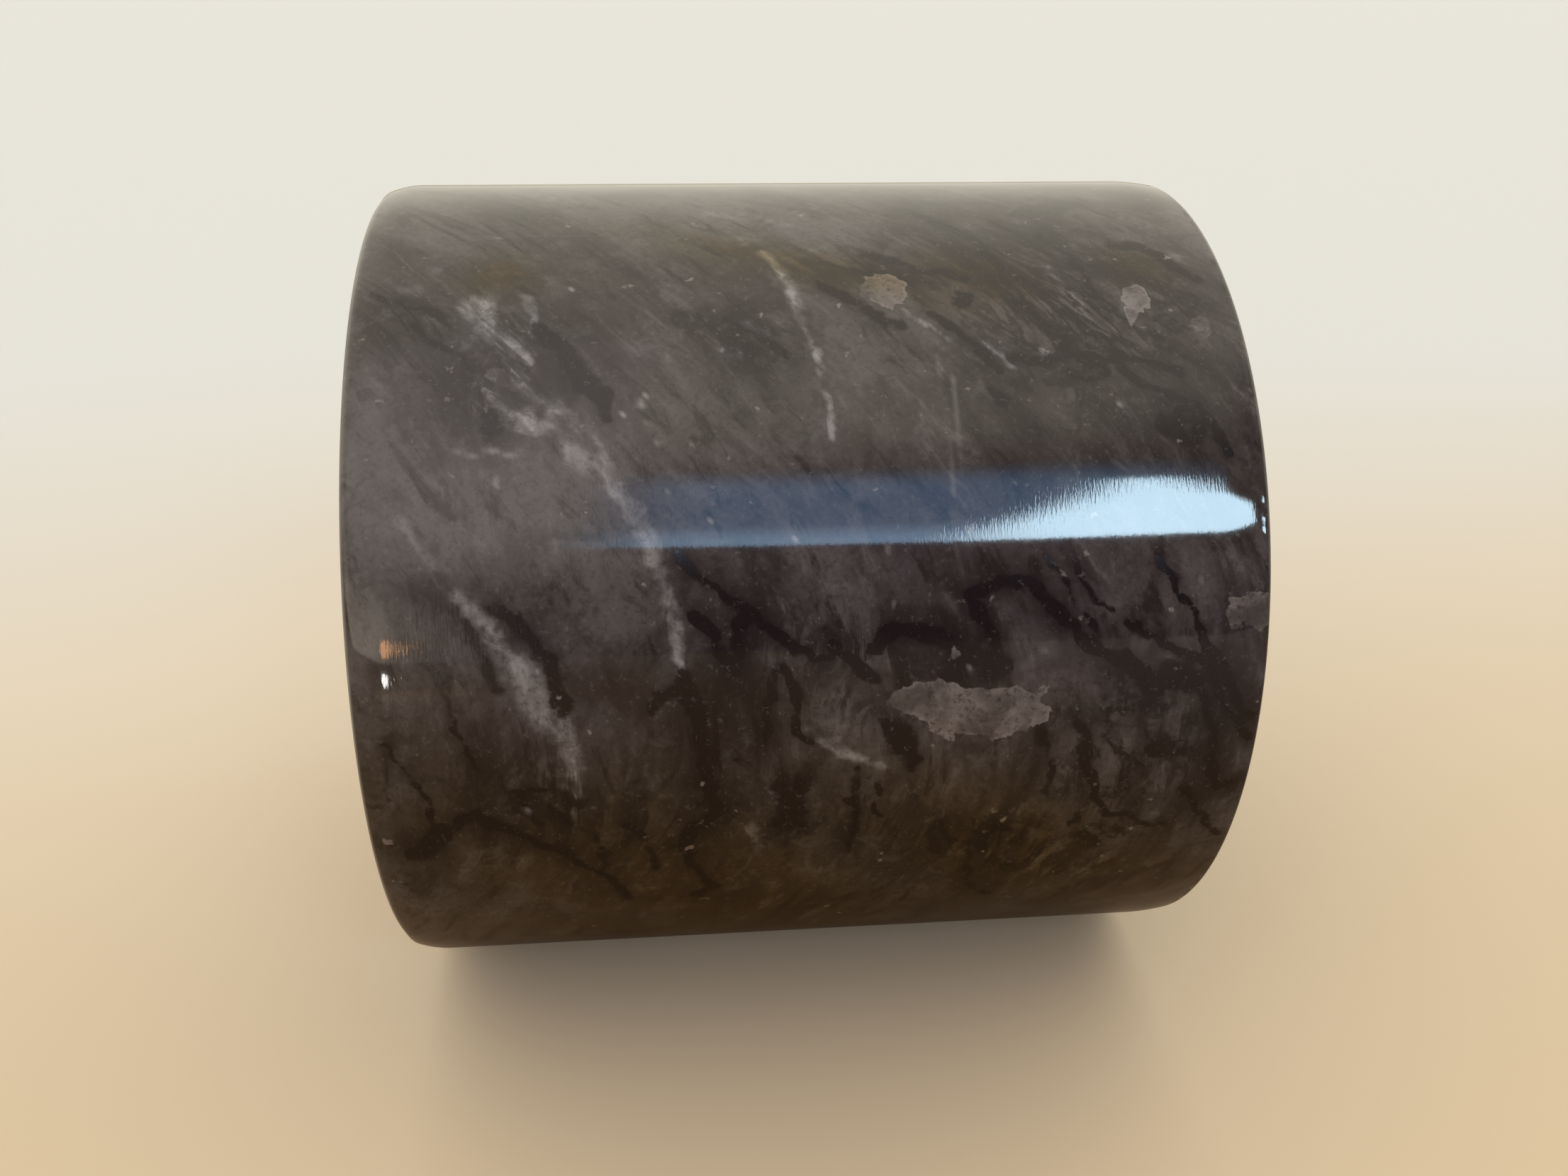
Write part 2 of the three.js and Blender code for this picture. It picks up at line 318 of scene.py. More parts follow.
PALE_LINES = [
    (0.85, 3.4, [(-49.5, 31), (-46.5, 35.4), (-43, 38.2), (-41, 39.5, 1.5)]),
    (0.7, 1.3, [(-42.5, 30), (-40.5, 34.6)]),
    (0.6, 2.2, [(-48, 42), (-44, 46.8), (-40, 48.5)]),
    (0.65, 2.0, [(-43, 41), (-40, 45.2), (-36, 46.8), (-34, 49)]),
    (0.85, 1.8, [(-36, 50.5), (-33, 53.4, 2.3), (-30.5, 54.6, 2.6), (-28.5, 58), (-26, 60, 2.6),
                 (-24.5, 63.2, 2.4), (-23, 66.5, 2), (-22, 69.5), (-21.5, 72.7, 1.5), (-21, 75.6, 1.2),
                 (-19.8, 77.2, 0.8)]),
    (0.3, 1.5, [(-62.5, 57), (-59.5, 59.5), (-55.5, 64.4)]),
    (0.25, 1.5, [(-55.5, 54.6), (-51.5, 58), (-48, 62.8)]),
    (0.75, 2.4, [(-51.5, 68.2, 1.6), (-49.5, 70.2), (-47, 73.5), (-44, 76.4, 3), (-41, 82, 3.4),
                 (-38, 85.4, 3.2), (-36, 88.7, 2.4), (-35.6, 94, 1.6)]),
    (0.9, 1.3, [(-5.5, 22, 2), (-3, 25.6, 1.8), (-1.5, 29.2, 1.6), (-1, 33), (0, 36.2, 1.1),
                (1, 40.7, 0.9), (1.5, 44.8, 0.8), (2, 51, 0.7)]),
    (0.35, 3, [(-13, 11), (-9, 13.3)]),
    (0.35, 2.4, [(-6.5, 12), (-1.5, 15.3)]),
    (0.4, 1, [(-17.5, 31.3), (-16.5, 33.7)]),
    (0.35, 1.5, [(-9, 34.6), (-5, 37)]),
    (0.4, 1, [(15, 34), (18, 35.4), (20.5, 37.8), (25, 40.3)]),
    (0.9, 0.7, [(26.5, 37.8), (28, 39.5), (29.8, 41.5)]),
    (0.4, 1.6, [(39, 26.4), (40.5, 29.6), (43.5, 34.6)]),
    (0.6, 1.2, [(-2, 86), (1, 88.7), (5, 90.3), (10, 92.5)]),
    (0.5, 1, [(-8, 95), (-6.5, 97), (-5.5, 98)]),
    (0.8, 0.5, [(35, 39.2), (38, 39.6)]),
]
PALE_PATCHES = [
    (0.7, -38.5, 48.5, 1.6, 1.2, 0), (0.7, -41, 46.8, 1.3, 1, 0), (0.8, -31, 53.8, 2, 1.5, 30),
    (0.3, -8, 18.6, 2, 2, 0), (0.22, -46.5, 18, 3, 2, 0), (0.22, -60.5, 18, 2.5, 2, 0),
    (0.25, -62, 26.4, 2, 1.5, 0), (0.25, -55.5, 24.3, 2, 1.5, 0), (0.28, -13, 39, 2.6, 3, 0),
    (0.45, -10.8, 39, 0.8, 2.4, 0), (0.4, 3, 21.3, 1.4, 1.2, 0), (0.35, 44.5, 20.6, 1, 2, 0),
    (0.35, 61.5, 23.5, 2, 2, 0), (0.3, 67, 23, 1.6, 6, 0), (0.3, 7, 44.4, 1, 2, 0),
    (0.6, 56, 69.4, 0.9, 0.8, 45), (0.25, -35, 97, 4.5, 2.4, 10), (0.55, -10.7, 101.8, 1, 2.4, 0),
    (0.2, -30, 107, 2.5, 2, 0), (0.25, -25, 113.2, 1.6, 1.6, 0), (0.25, -28, 121, 2.6, 1.8, 0),
    (0.35, -2.5, 98, 0.7, 1.6, 0), (0.35, -1.5, 94.8, 0.8, 1, 0), (0.7, 54, 94.4, 1.3, 0.9, 0),
    (0.4, 43.2, 104.6, 1, 2.8, 0), (0.4, 52.5, 101.8, 1.8, 2.2, 0), (0.35, 35.5, 109.7, 1.8, 1.4, 0),
    (0.25, 28, 107.9, 1.6, 2.6, 0), (0.25, 51.5, 112, 1.6, 2.6, 0), (0.3, 30, 114.4, 1.4, 1, 0),
    (0.3, 2, 85.5, 4.5, 5, 35), (0.35, 61, 37, 1.6, 2.2, 30),
]
# Crisp shell-like fragments: outlines of (x, degrees).
FOSSILS = [
    [(9, 29.4), (10, 27), (12, 26.4), (14.6, 27.2), (16.2, 29), (15.8, 31), (14.6, 32.6), (12.6, 33.3),
     (10.6, 32), (9.2, 31)],
    [(10.5, 82.9), (13, 80.9), (17, 80), (20, 81.3), (25, 82.3), (29, 81.7), (33, 84), (35, 85),
     (33, 86.6), (29, 87.8), (26, 88.2), (23, 87.8), (19.5, 88.3), (16, 87), (14, 85), (12.5, 84.6)],
    [(60.4, 72.5), (61.6, 71), (63.2, 71.4), (64.4, 70.6), (66, 71.2), (67.9, 70.6), (67.9, 75.6),
     (66, 76.2), (64, 75), (62, 75.6), (60.8, 74.4)],
    [(49, 31), (50.5, 29.6), (53, 29.4), (55, 31), (54.6, 33), (52.4, 33.4), (51.6, 35.4), (49.6, 35.4),
     (49.8, 33)],
    [(59.8, 35.4), (61, 35), (62.6, 37), (62.4, 38.8), (61, 38.4)],
    [(32, 81.7), (33.4, 81.6), (33.6, 82.9), (32.2, 82.9)],
]
DARK_LINES = [
    (0.7, 2, [(-40, 34.6), (-36, 38.7, 3), (-33.5, 42.3, 3.4), (-30.5, 44.4, 2.4), (-30, 48, 1.2)]),
    (0.6, 1.2, [(-64, 29.2), (-59.5, 31.3), (-55, 32)]),
    (0.6, 1.1, [(-58, 34.2), (-55, 37), (-51, 38.7), (-50, 40.3)]),
    (0.4, 1.2, [(-12, 34), (-8, 36.2), (-3.5, 39.9)]),
    (0.35, 1, [(-13.5, 44.8), (-10, 49.3)]),
    (0.9, 1.1, [(-20, 64.5), (-16.5, 67.4), (-13, 69.8), (-10, 71.5), (-6.5, 73.9), (-3.5, 76), (-1, 77.6),
                (1.5, 77.6)]),
    (1.0, 1.2, [(-19, 71.5), (-17.5, 72.3), (-16, 74.7), (-14, 77.6, 1.8), (-13, 78.2, 1.8), (-12.5, 76.4),
                (-12.2, 73.1), (-10.5, 71.9)]),
    (1.0, 2.2, [(-20, 78), (-19.5, 81.3), (-18.5, 84, 2.6), (-18, 87.8), (-17.5, 91, 1.8), (-16, 94.8, 1.5),
                (-15.5, 97.7, 1.2), (-17, 98.9, 1.4), (-19.5, 100.5, 1.8), (-20.5, 103), (-20, 105.8),
                (-19.5, 108.3, 1.6)]),
    (0.8, 2, [(-20, 78), (-23, 80.5), (-25, 82.5, 1.4)]),
    (0.7, 1.5, [(-19, 109), (-18, 111.6), (-16.5, 113.6), (-19, 116)]),
    (0.9, 1, [(-8.5, 87.8), (-8, 83), (-7.2, 79.2), (-5.7, 78.2), (-4, 80.5), (-3.5, 83), (-3.5, 86.2),
              (-1.5, 88.2)]),
    (0.65, 2, [(-46.5, 70.2), (-43, 71.9), (-41, 74.7), (-39.5, 78), (-37.5, 82, 2.6)]),
    (0.7, 0.8, [(-42.5, 71), (-40.8, 73.9), (-39.2, 76.4)]),
    (0.4, 1.6, [(-51, 71), (-49.5, 73.5), (-48, 76.8), (-46, 79.2)]),
    (0.55, 0.7, [(-56, 75.6), (-54, 81), (-52.5, 84.6), (-50.5, 90.3)]),
    (0.55, 0.8, [(-62.5, 86), (-60, 90.3), (-58, 95.2), (-57, 99)]),
    (0.85, 1.3, [(-61, 103, 3), (-56, 99, 1.6), (-51, 96.4), (-49, 98.5), (-46.5, 99.3), (-44, 101.3),
                 (-40, 103), (-36, 106.3), (-34, 108.3), (-31.5, 111.6), (-29.5, 115.3)]),
    (0.6, 1, [(-46, 93.4), (-40, 92.7)]),
    (0.5, 1.2, [(-44, 94), (-42, 98.5)]),
    (0.4, 1.8, [(-40, 96), (-38, 98), (-35, 101), (-33, 105), (-33.5, 108.3)]),
    (0.4, 1.6, [(-29.5, 98.5), (-26.5, 103), (-25.5, 108.3)]),
    (0.6, 1.7, [(3, 27.6), (7, 30.9), (10, 33.7), (14.5, 36.2)]),
    (0.65, 1.5, [(11.5, 22.9), (15.5, 24.1), (19, 26), (23, 26.4), (26, 27.6)]),
    (0.7, 1.4, [(19.5, 33.7), (22.5, 36.2), (25.5, 38.7), (28, 41.9)]),
    (0.6, 1.3, [(30, 22.7), (33, 26.8), (36, 28.8), (37.5, 31.7)]),
    (0.6, 1.3, [(43, 24.7), (44.5, 28), (45, 31.3)]),
    (0.6, 2.4, [(51, 20.2), (54.5, 21), (57.5, 23.1), (60, 26.4), (63, 28.4)]),
    (0.6, 1.2, [(32.5, 31.7), (35, 33.7), (37.5, 37), (39.5, 39)]),
    (0.75, 1.7, [(30, 40.3), (35, 41.1), (38.5, 39.5), (43, 41.1), (47.5, 40.3), (52, 41.5), (56, 42.7)]),
    (0.6, 1, [(39, 41), (41, 40), (44.5, 40.6), (45, 43), (42, 44), (39.5, 43)]),
    (0.65, 1.2, [(47.5, 42.3), (50.5, 45.2), (57, 46.4), (59.5, 49.3), (61.5, 53.4)]),
    (0.5, 1.3, [(26.5, 45.2), (29, 46.8)]),
    (0.95, 1.6, [(1, 76), (3.5, 77.6), (6.5, 79.2), (8, 80)]),
    (0.95, 2.1, [(7, 76.4, 1.6), (9.5, 74.5), (13, 74.1), (17, 75.3), (20, 77.2), (25, 78.4),
                 (27.5, 79.2, 1.5)]),
    (0.95, 1.5, [(22.5, 69.8), (23.5, 72.3), (25, 75.6), (26.7, 78.8)]),
    (0.95, 1.5, [(22.5, 69.8), (27, 68), (30.5, 68.6), (33, 70.6), (36, 72.7), (38, 74.3), (40.5, 76.4),
                 (43, 77.2), (46, 78.8, 2), (49, 81.3, 2.4), (50.5, 82.9, 2.4)]),
    (0.5, 1, [(37.5, 67.4), (40.5, 70.2), (43.5, 72.3)]),
    (0.5, 0.8, [(32.5, 65), (35, 67.8), (39.5, 72.7), (41, 74.7)]),
    (0.85, 1.3, [(46, 73.9), (48.5, 75.6), (52, 77.2), (55.5, 78.4), (58, 79.2), (60.5, 81), (63.5, 84.2),
                 (66, 87)]),
    (0.8, 1, [(50, 66.5, 0.8), (52.5, 69.4, 0.9), (55, 72.7), (57.5, 77.2, 1.4), (59.5, 79.6, 1.8),
              (61.5, 82, 1.8)]),
    (0.8, 1.3, [(57, 82), (59.5, 85.4), (60.5, 89.5), (61, 93.6), (61.5, 96), (62.5, 97.7), (65, 97.7)]),
    (0.8, 1.1, [(58.5, 80.5), (61, 84.6), (64, 87.4), (66, 90.3)]),
    (0.8, 1.2, [(5.5, 92.7), (5, 96.8), (6, 101), (5.5, 103.4), (4.5, 106.3)]),
    (0.6, 0.7, [(8.2, 94), (8.7, 96.8), (9.7, 99.7)]),
    (0.4, 1.8, [(33, 86.6), (34.5, 92), (35.5, 95.2), (35, 97.7)]),
    (0.7, 1.5, [(39, 86.2), (40, 88.7), (40.5, 92.7, 2), (42, 96), (43, 98.5), (44.5, 100)]),
    (0.6, 1.3, [(27, 108), (26, 106), (28, 103.8), (30.5, 104.6)]),
    (0.55, 1.3, [(25, 111), (25.5, 115), (27.5, 118), (30, 119.8)]),
    (0.6, 1.2, [(45.5, 101), (50, 102.6), (51, 104.2), (55.5, 104.2)]),
    (0.65, 1.4, [(58, 97.7), (60, 101), (63, 104.2), (65.5, 107)]),
    (0.7, 1, [(9.5, 85), (12, 88), (15, 91), (14, 92.7)]),
]
DARK_PATCHES = [
    (0.45, -45.8, 48, 3.2, 3.2, 20), (0.6, 24.2, 30.8, 2, 1.7, 0), (0.45, 55, 49.5, 5.5, 4, 20),
    (0.5, 21.5, 79, 7, 3.4, 8), (0.85, 54.5, 81.6, 3.6, 2.4, 10), (0.85, 12.4, 89, 2, 4.4, -20),
    (0.5, 54, 91.5, 5, 4, 0), (0.45, -4, 98, 5, 9, 0), (0.5, 31.5, 111.8, 1.8, 2.2, 0),
    (0.5, 40.7, 102, 1.5, 2.4, 0), (0.35, 46, 106, 8, 5, 0), (0.3, -16, 33, 5, 3, 25),
]
# Tints: (x, degrees, half length, half height), olive brown first and then lilac. The olive ones are partly
# the stone's tint; the three wide ones low on the side, from 108 to 136 degrees, are painted warm shade that
# makes the lower side darker and browner.
OLIVE_AND_PAINTED_SHADE_PATCHES = [(-46, 26, 5, 5), (0, 24, 26, 4), (54, 25, 6, 4), (28, 27, 10, 5), (-20, 112, 50, 20),
                 (30, 108, 34, 18), (0, 136, 70, 16)]
LILAC_PATCHES = [(-40, 84, 9, 8), (22, 68, 48, 15), (15, 84, 12, 6), (60, 74, 8, 7), (-44, 38, 6, 6)]
# Where dark threads crowd together.
BUSY_PATCHES = [(42, 34, 26, 20), (12, 26, 16, 6), (-46, 42, 9, 12), (-36, 96, 20, 9), (-15, 90, 9, 22),
                (10, 80, 22, 8), (48, 90, 18, 18), (30, 108, 30, 9), (-58, 33, 8, 6), (-8, 38, 8, 6),
                (20, 180, 34, 50), (-40, 230, 26, 50), (30, 290, 34, 40), (-30, 320, 24, 24)]
SPECKS = [(-25, 45.8, 0.6), (-24.2, 44.7, 0.35), (-27.7, 47.2, 0.35), (-24, 48.5, 0.3),
          (-22.7, 50.8, 0.3), (-21.2, 39.7, 0.35), (-35, 28.6, 0.35), (-15.5, 60.5, 0.4),
          (-3.5, 62.8, 0.4), (46.2, 47.1, 0.35), (-43.9, 96.6, 0.4), (33, 77, 0.35), (10, 64.3, 0.4),
          (22, 79.2, 0.35), (-21.5, 57, 0.3)]
SCRATCHES = [
    (0.6, 0.5, [(-51.5, 51.5), (-49, 51.9), (-46, 51.4), (-44, 52), (-42, 51.6)]),
    (0.5, 0.5, [(-32.2, 49.3), (-30, 52.4)]),
    (0.6, 0.45, [(-47.5, 53.4), (-47.5, 54.6)]),
    (0.6, 0.45, [(-45.7, 54.6), (-45.7, 55.8)]),
    (0.35, 0.4, [(19.4, 40), (19.8, 58)]),
    (0.3, 0.4, [(21.2, 43), (21.5, 56)]),
]


def on_surface(points):
    return np.array([(x, degrees * MM_PER_DEGREE) for x, degrees in points])


def line_field(places, line, spread=1.05):
    """How strongly a line of changing width marks each place, from 0 to its strength."""
    strength, width, points = line
    widths = [point[2] if len(point) > 2 else width for point in points]
    route = on_surface([point[:2] for point in points])
    field = np.zeros(len(places))
    reach = 1.6 * spread * max(widths)
    near = np.all((places > route.min(0) - reach) & (places < route.max(0) + reach), axis=1)
    spots = places[near]
    best = np.zeros(len(spots))
    for start, end, first, second in zip(route[:-1], route[1:], widths[:-1], widths[1:]):
        run = end - start
        along = np.clip((spots - start) @ run / (run @ run), 0, 1)
        gap = np.linalg.norm(spots - start - along[:, None] * run, axis=1)
        half = (first + (second - first) * along) / 2
        best = np.maximum(best, np.exp(-((gap / (spread * half)) ** 2)))
    field[near] = strength * best
    return field


def patch_field(places, patch):
    strength, x, degrees, length, height, tilt = patch
    away = places - on_surface([(x, degrees)])
    turn = math.radians(tilt)
    along = away @ (math.cos(turn), math.sin(turn)) / length
    across = away @ (-math.sin(turn), math.cos(turn)) / height
    return strength * np.exp(-1.1 * (along**2 + across**2))


def inside_field(places, outline, softness=0.5):
    """1 well inside the outline, 0 well outside, 0.5 on it."""
    corners = on_surface(outline)
    gap = np.full(len(places), np.inf)
    inside = np.zeros(len(places), bool)
    for start, end in zip(corners, np.roll(corners, -1, axis=0)):
        run = end - start
        along = np.clip((places - start) @ run / (run @ run), 0, 1)
        gap = np.minimum(gap, np.linalg.norm(places - start - along[:, None] * run, axis=1))
        crosses = (start[1] > places[:, 1]) != (end[1] > places[:, 1])
        if run[1]:
            inside ^= crosses & (places[:, 0] < start[0] + (places[:, 1] - start[1]) * run[0] / run[1])
    return np.clip(0.5 + np.where(inside, gap, -gap) / (2 * softness), 0, 1)


def figure_behind():
    """Random veins in the same style for the side that the camera doesn't see."""
    rng = np.random.default_rng(SEED)
    pale, dark, clouds, stains = [], [], [], []
    for count, lines, strength, width in ((16, pale, 0.6, 1.9), (62, dark, 0.7, 1.35)):
        for _ in range(count):
            x, degrees = rng.uniform(-66, 60), rng.uniform(142, 344)
            heading = math.radians(rng.normal(57, 14))
            points = []
            for _ in range(rng.integers(4, 10)):
                points.append((x, degrees, width * rng.uniform(0.5, 1.5)))
                heading += rng.normal(0, 0.3) if lines is pale else rng.normal(0, 0.55)
                heading += 0.25 * (math.radians(57) - heading)
                step = rng.uniform(2.5, 4.5)
                x, degrees = x + step * math.cos(heading), degrees + step * math.sin(heading) / MM_PER_DEGREE
            lines.append((strength * rng.uniform(0.6, 1.2), width, points))
    for count, patches, strength in ((26, clouds, 0.45), (22, stains, 0.55)):
        for _ in range(count):
            spot = rng.uniform(-64, 64), rng.uniform(146, 344)
            patches.append((strength * rng.uniform(0.5, 1.2), *spot, *rng.uniform(1, 4.5, 2), 57))
    return pale, dark, clouds, stains


def wandered(places, points):
    """The places shifted by noise, so that the lines placed on them wander and fray."""
    shift = np.zeros_like(places)
    for wave, reach in ((11.0, 0.9), (4.2, 0.8), (1.7, 0.8)):
        turbulence = [noise.noise_vector(Vector(point) / wave) for point in points]
        shift += reach * np.array(turbulence)[:, :2]
    return places + shift


def marble_figure(points):
    """The figure's strength at each point of the outer skin, by attribute name."""
    degrees = np.degrees(np.arctan2(-points[:, 1], points[:, 2] - BARREL_RADIUS))
    degrees = np.where(degrees < -16, degrees + 360, degrees)
    exact = np.stack([points[:, 0], degrees * MM_PER_DEGREE], axis=1)
    on_side = np.linalg.norm(points[:, 1:] - (0, BARREL_RADIUS), axis=1) > BARREL_RADIUS - 3
    across = points[:, 1:] + (0, FACE_DEGREES * MM_PER_DEGREE - BARREL_RADIUS)
    exact = np.where(on_side[:, None], exact, across)
    loose = wandered(exact, points)
    pale_behind, dark_behind, clouds_behind, stains_behind = figure_behind()
    pale = dark = scratch = olive_and_painted_shade = lilac = fossil = bloom = halo = busy = np.zeros(len(points))
    for line in PALE_LINES + pale_behind:
        pale = np.maximum(pale, line_field(loose, line))
        bloom = np.maximum(bloom, line_field(loose, line, 4))
    for patch in PALE_PATCHES + clouds_behind:
        pale = np.maximum(pale, patch_field(loose, patch))
    for line in DARK_LINES + dark_behind:
        dark = np.maximum(dark, line_field(loose, line))
        halo = np.maximum(halo, line_field(loose, line, 4.5))
    for patch in DARK_PATCHES + stains_behind:
        dark = np.maximum(dark, patch_field(loose, patch))
    for outline in FOSSILS:
        fossil = np.maximum(fossil, inside_field(loose, outline))
    for line in SCRATCHES:
        scratch = np.maximum(scratch, line_field(exact, line))
    for x, spot, size in SPECKS:
        scratch = np.maximum(scratch, patch_field(exact, (1, x, spot, size, size, 0)))
    # Olive tint, with painted warm shade where the wide patches lie low on the side.
    for patch in OLIVE_AND_PAINTED_SHADE_PATCHES:
        olive_and_painted_shade = np.maximum(olive_and_painted_shade, patch_field(loose, (1, *patch, 20)))
    for patch in BUSY_PATCHES:
        busy = np.maximum(busy, patch_field(loose, (1, *patch, 20)))
    for patch in LILAC_PATCHES:
        lilac = np.maximum(lilac, patch_field(loose, (1, *patch, 20)))
    return {"pale": pale, "bloom": bloom, "dark": dark, "halo": halo, "fossil": fossil,
            "scratch": scratch, "olive_and_painted_shade": olive_and_painted_shade, "lilac": lilac, "busy": np.where(on_side, busy, 0.5),
            "polish": on_side * 1.0}


# ---- Meshes --------------------------------------------------------------------------------


def upright(mesh):
    """Turns every face outwards."""
    work = bmesh.new()
    work.from_mesh(mesh)
    bmesh.ops.recalc_face_normals(work, faces=work.faces)
    work.to_mesh(mesh)
    work.free()


def add_object(name, points, faces, material, body, slot, *replaced):
    """A new piece from points in millimetres, riding on a body in place of CAD nodes."""
    mesh = bpy.data.meshes.new(name)
    mesh.from_pydata((np.asarray(points) * MM).tolist(), [], faces)
    mesh.materials.append(material)
    upright(mesh)
    mesh.shade_smooth()
    mesh.set_sharp_from_angle(angle=math.radians(40))
    piece = bpy.data.objects.new(name, mesh)
    bpy.context.scene.collection.objects.link(piece)
    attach(piece, body)
    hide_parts(*replaced)
    return piece


def lathe(outline, angles, first_point=0):
    """Points and faces of a closed outline of (x, radius) turned about the barrel's axis.
    Angles are in degrees from the top towards -Y. Points on the axis are shared."""
    points, rings = [], []
    for x, radius in outline:
        if radius < 1e-6:
            rings.append([first_point + len(points)] * len(angles))
            points.append((x, 0, BARREL_RADIUS))
            continue
        rings.append(list(range(first_point + len(points), first_point + len(points) + len(angles))))
        for angle in np.radians(angles):
            points.append((x, -radius * math.sin(angle), BARREL_RADIUS + radius * math.cos(angle)))
    faces = []
    for near, far in zip(rings, rings[1:] + rings[:1]):
        for i in range(len(angles)):
            j = (i + 1) % len(angles)
            corners = [near[i], near[j], far[j], far[i]]
            face = [corner for k, corner in enumerate(corners) if corner != corners[k - 1]]
            if len(face) > 2:
                faces.append(face)
    return points, faces


def arc(x, radius, bend, start, end, steps=6):
    """Points of a round about (x, radius) between two angles in degrees."""
    angles = np.radians(np.linspace(start, end, steps + 1))
    return [(x + bend * math.cos(angle), radius + bend * math.sin(angle)) for angle in angles]


# ---- Marble shell --------------------------------------------------------------------------

FIGURE_PITCH = 0.67  # mm between rows along the side
FACE_PITCH = 3  # mm between rings on the closed end
SEEN_PITCH = 0.6  # degrees between columns where the camera looks
HIDDEN_PITCH = 1.7


def side_radius(x):
    """The side's radius in millimetres, with its roll-off towards each end."""
    radius = BARREL_RADIUS
    for distance, (length, drop) in ((MOUTH_X - x, MOUTH_ROLL), (x - BASE_X, BASE_ROLL)):
        if distance < length:
            radius -= drop * (1 - distance / length) ** 2
    return radius


def shell_outline():
    side = np.arange(BASE_X + BASE_ARRIS, MOUTH_X - MOUTH_ROUNDING, FIGURE_PITCH)
    mouth_edge = side_radius(MOUTH_X - MOUTH_ROUNDING) - MOUTH_ROUNDING
    arris_foot = side_radius(BASE_X + BASE_ARRIS) - BASE_ARRIS
    fillet = BORE_FLOOR_X + BORE_FILLET, BORE_RADIUS - BORE_FILLET
    bore = np.linspace(fillet[0], MOUTH_X - MOUTH_ROUNDING, 7)[1:-1]
    mouth_face = np.linspace(mouth_edge, BORE_RADIUS + MOUTH_ROUNDING, 7)[1:-1]
    return [
        *((BASE_X, radius) for radius in np.arange(0, arris_foot - 1, FACE_PITCH)),
        (BASE_X, arris_foot - 0.2),
        *((x, side_radius(x)) for x in side),
        *arc(MOUTH_X - MOUTH_ROUNDING, mouth_edge, MOUTH_ROUNDING, 90, 0),
        *((MOUTH_X, radius) for radius in mouth_face),
        *arc(MOUTH_X - MOUTH_ROUNDING, BORE_RADIUS + MOUTH_ROUNDING, MOUTH_ROUNDING, 0, -90),
        *((x, BORE_RADIUS) for x in bore[::-1]),
        *arc(*fillet, BORE_FILLET, 90, 180),
        (BORE_FLOOR_X, BORE_RADIUS / 2), (BORE_FLOOR_X, 0),
    ]


def marble_shell():
    angles = np.concatenate([np.arange(-14, 146, SEEN_PITCH), np.arange(146, 346, HIDDEN_PITCH)])
    points, faces = lathe(shell_outline(), angles)
    # The closed outline's last strip would join the two points on the axis: it has no area.
    piece = add_object("marble_shell", points, faces, marble(), "shell", "stone", "stone_shell")
    for name, field in marble_figure(np.array(points)).items():
        layer = piece.data.attributes.new(name, "FLOAT", "POINT")
        layer.data.foreach_set("value", field.astype(np.float32))


def stone_textures(g, where):
    """Noise at every scale of the stone, from clouds 30 mm across down to its sugary grain."""
    along = g.stretched(where, (1, 0.2, 0.3), (0, 0, -45))
    mottle = g.noise(where, 170, 4.0, 0.62, 0.6)
    return SimpleNamespace(
        where=where, along=along, mottle=mottle, patchy=g.smooth(mottle, 0.36, 0.64),
        clouds=g.noise(where, 34, 4.0, 0.6, 0.5), grain=g.noise(where, 1100, 3.0, 0.7),
        streaks=g.noise(along, 330, 5.0, 0.66, 0.7), bands=g.noise(along, 95, 4.0, 0.6, 0.9),
        busy=g.attribute("busy"))


def stone_ground(g, t):
    """The colour under the veins: clouds, tints, and slanting bands and streaks. The brown tint is partly
    painted warm shade low on the side.
    """
    colour = g.mix(g.smooth(t.clouds, 0.38, 0.62), (0.047, 0.040, 0.036), (0.092, 0.082, 0.079))
    # Olive brown: partly the stone's tint, partly painted warm shade on the lower side.
    colour = g.mix(g.times(g.attribute("olive_and_painted_shade"), 0.85), colour, (0.048, 0.031, 0.011))
    colour = g.mix(g.times(g.attribute("lilac"), 0.6), colour, (0.068, 0.054, 0.064))
    deep = g.times_plus(t.busy, 0.08, 0.475)
    colour = g.cover(colour, g.minus(t.bands, deep), 0.0, -0.15, 0.75, (0.022, 0.016, 0.014))
    colour = g.cover(colour, t.bands, 0.53, 0.70, 0.6, (0.108, 0.098, 0.096))
    colour = g.cover(colour, g.minus(t.streaks, deep), 0.0, -0.16, 0.8, (0.018, 0.013, 0.011))
    colour = g.cover(colour, t.streaks, 0.54, 0.74, 0.7, (0.125, 0.115, 0.114))
    colour = g.cover(colour, t.mottle, 0.50, 0.33, 0.5, (0.026, 0.020, 0.017))
    colour = g.cover(colour, t.mottle, 0.54, 0.72, 0.45, (0.115, 0.107, 0.106))
    halo = g.times(g.attribute("halo"), g.smooth(t.bands, 0.66, 0.40, 0.45, 1.0))
    return g.mix(halo, colour, (0.017, 0.0115, 0.0100))


def with_pale_veins(g, t, colour):
    pale, bloom = g.attribute("pale"), g.attribute("bloom")
    gain = g.times_plus(t.patchy, 0.95, 0.45)
    lit = g.times(g.times_plus(bloom, 0.2, pale), gain)
    lit = g.times_plus(g.minus(t.grain, 0.5), 0.12, lit)
    share = g.times(g.smooth(lit, 0.02, 1.0), g.smooth(pale, 0.0, 0.2))
    bloom_share = g.times(bloom, g.smooth(t.mottle, 0.42, 0.66, 0.0, 0.42))
    tone = g.mix(g.smooth(t.streaks, 0.36, 0.64), (0.155, 0.150, 0.153), (0.29, 0.285, 0.29))
    colour = g.mix(bloom_share, colour, (0.105, 0.098, 0.098))
    return g.mix(g.times(share, 0.9), colour, tone)


